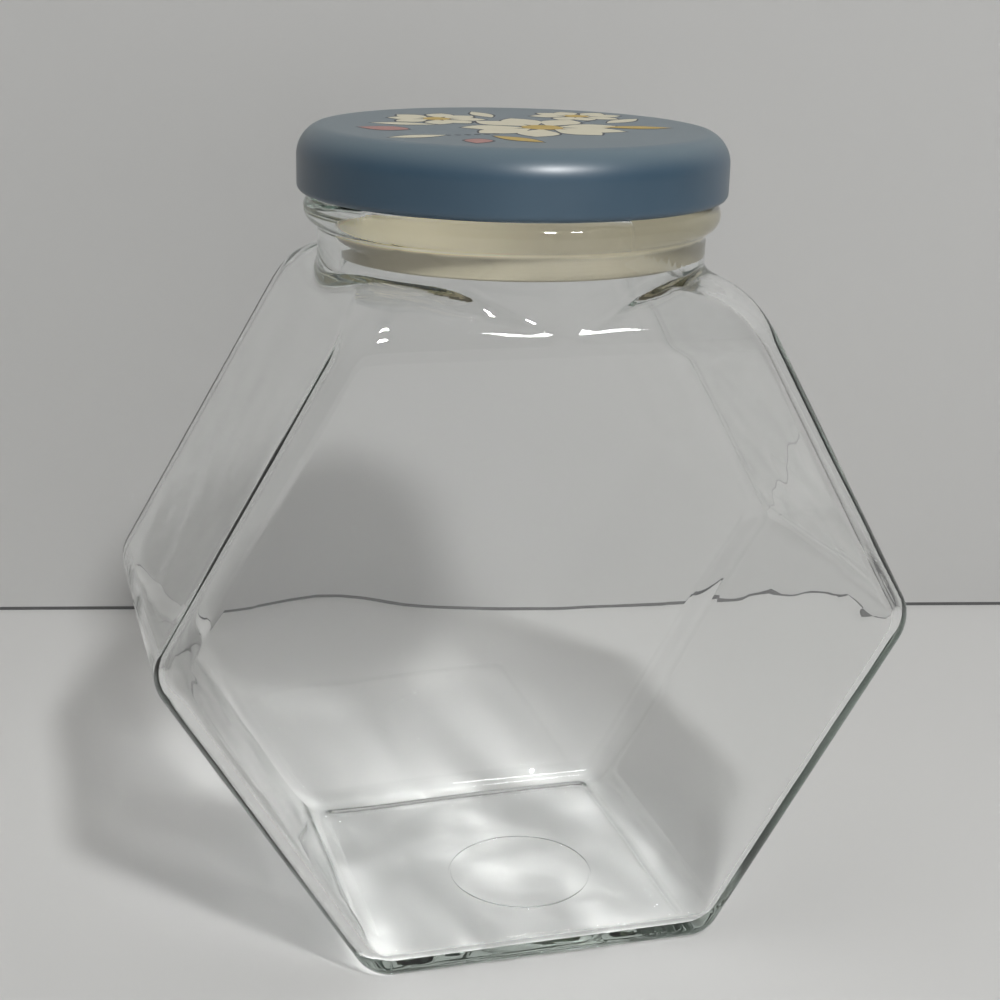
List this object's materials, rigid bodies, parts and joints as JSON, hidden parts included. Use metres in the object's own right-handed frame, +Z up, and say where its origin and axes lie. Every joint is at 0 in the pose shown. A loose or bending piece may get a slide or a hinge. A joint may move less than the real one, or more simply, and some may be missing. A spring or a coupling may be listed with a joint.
{
  "type": "hexagonal storage jar",
  "caption": "Clear glass storage jar, hexagonal from the front, with a wide round neck, a pressed steel screw lid and a plastic plug seal.",
  "frame": {"origin": "middle of the overall box on the plane that the base stands on; the neck's axis passes through it", "axes": "+Z up along the axis of the neck and lid; +X to the right along the wide hexagonal front; the front faces -Y"},
  "size_m": [0.1634, 0.091, 0.1746],
  "materials": {
    "clear_glass": "polished",
    "lid_paint": "satin",
    "seal_plastic": "satin"
  },
  "bodies": {
    "root": {"jar": "clear_glass", "lid": "lid_paint", "seal": "seal_plastic"}
  },
  "joints": []
}
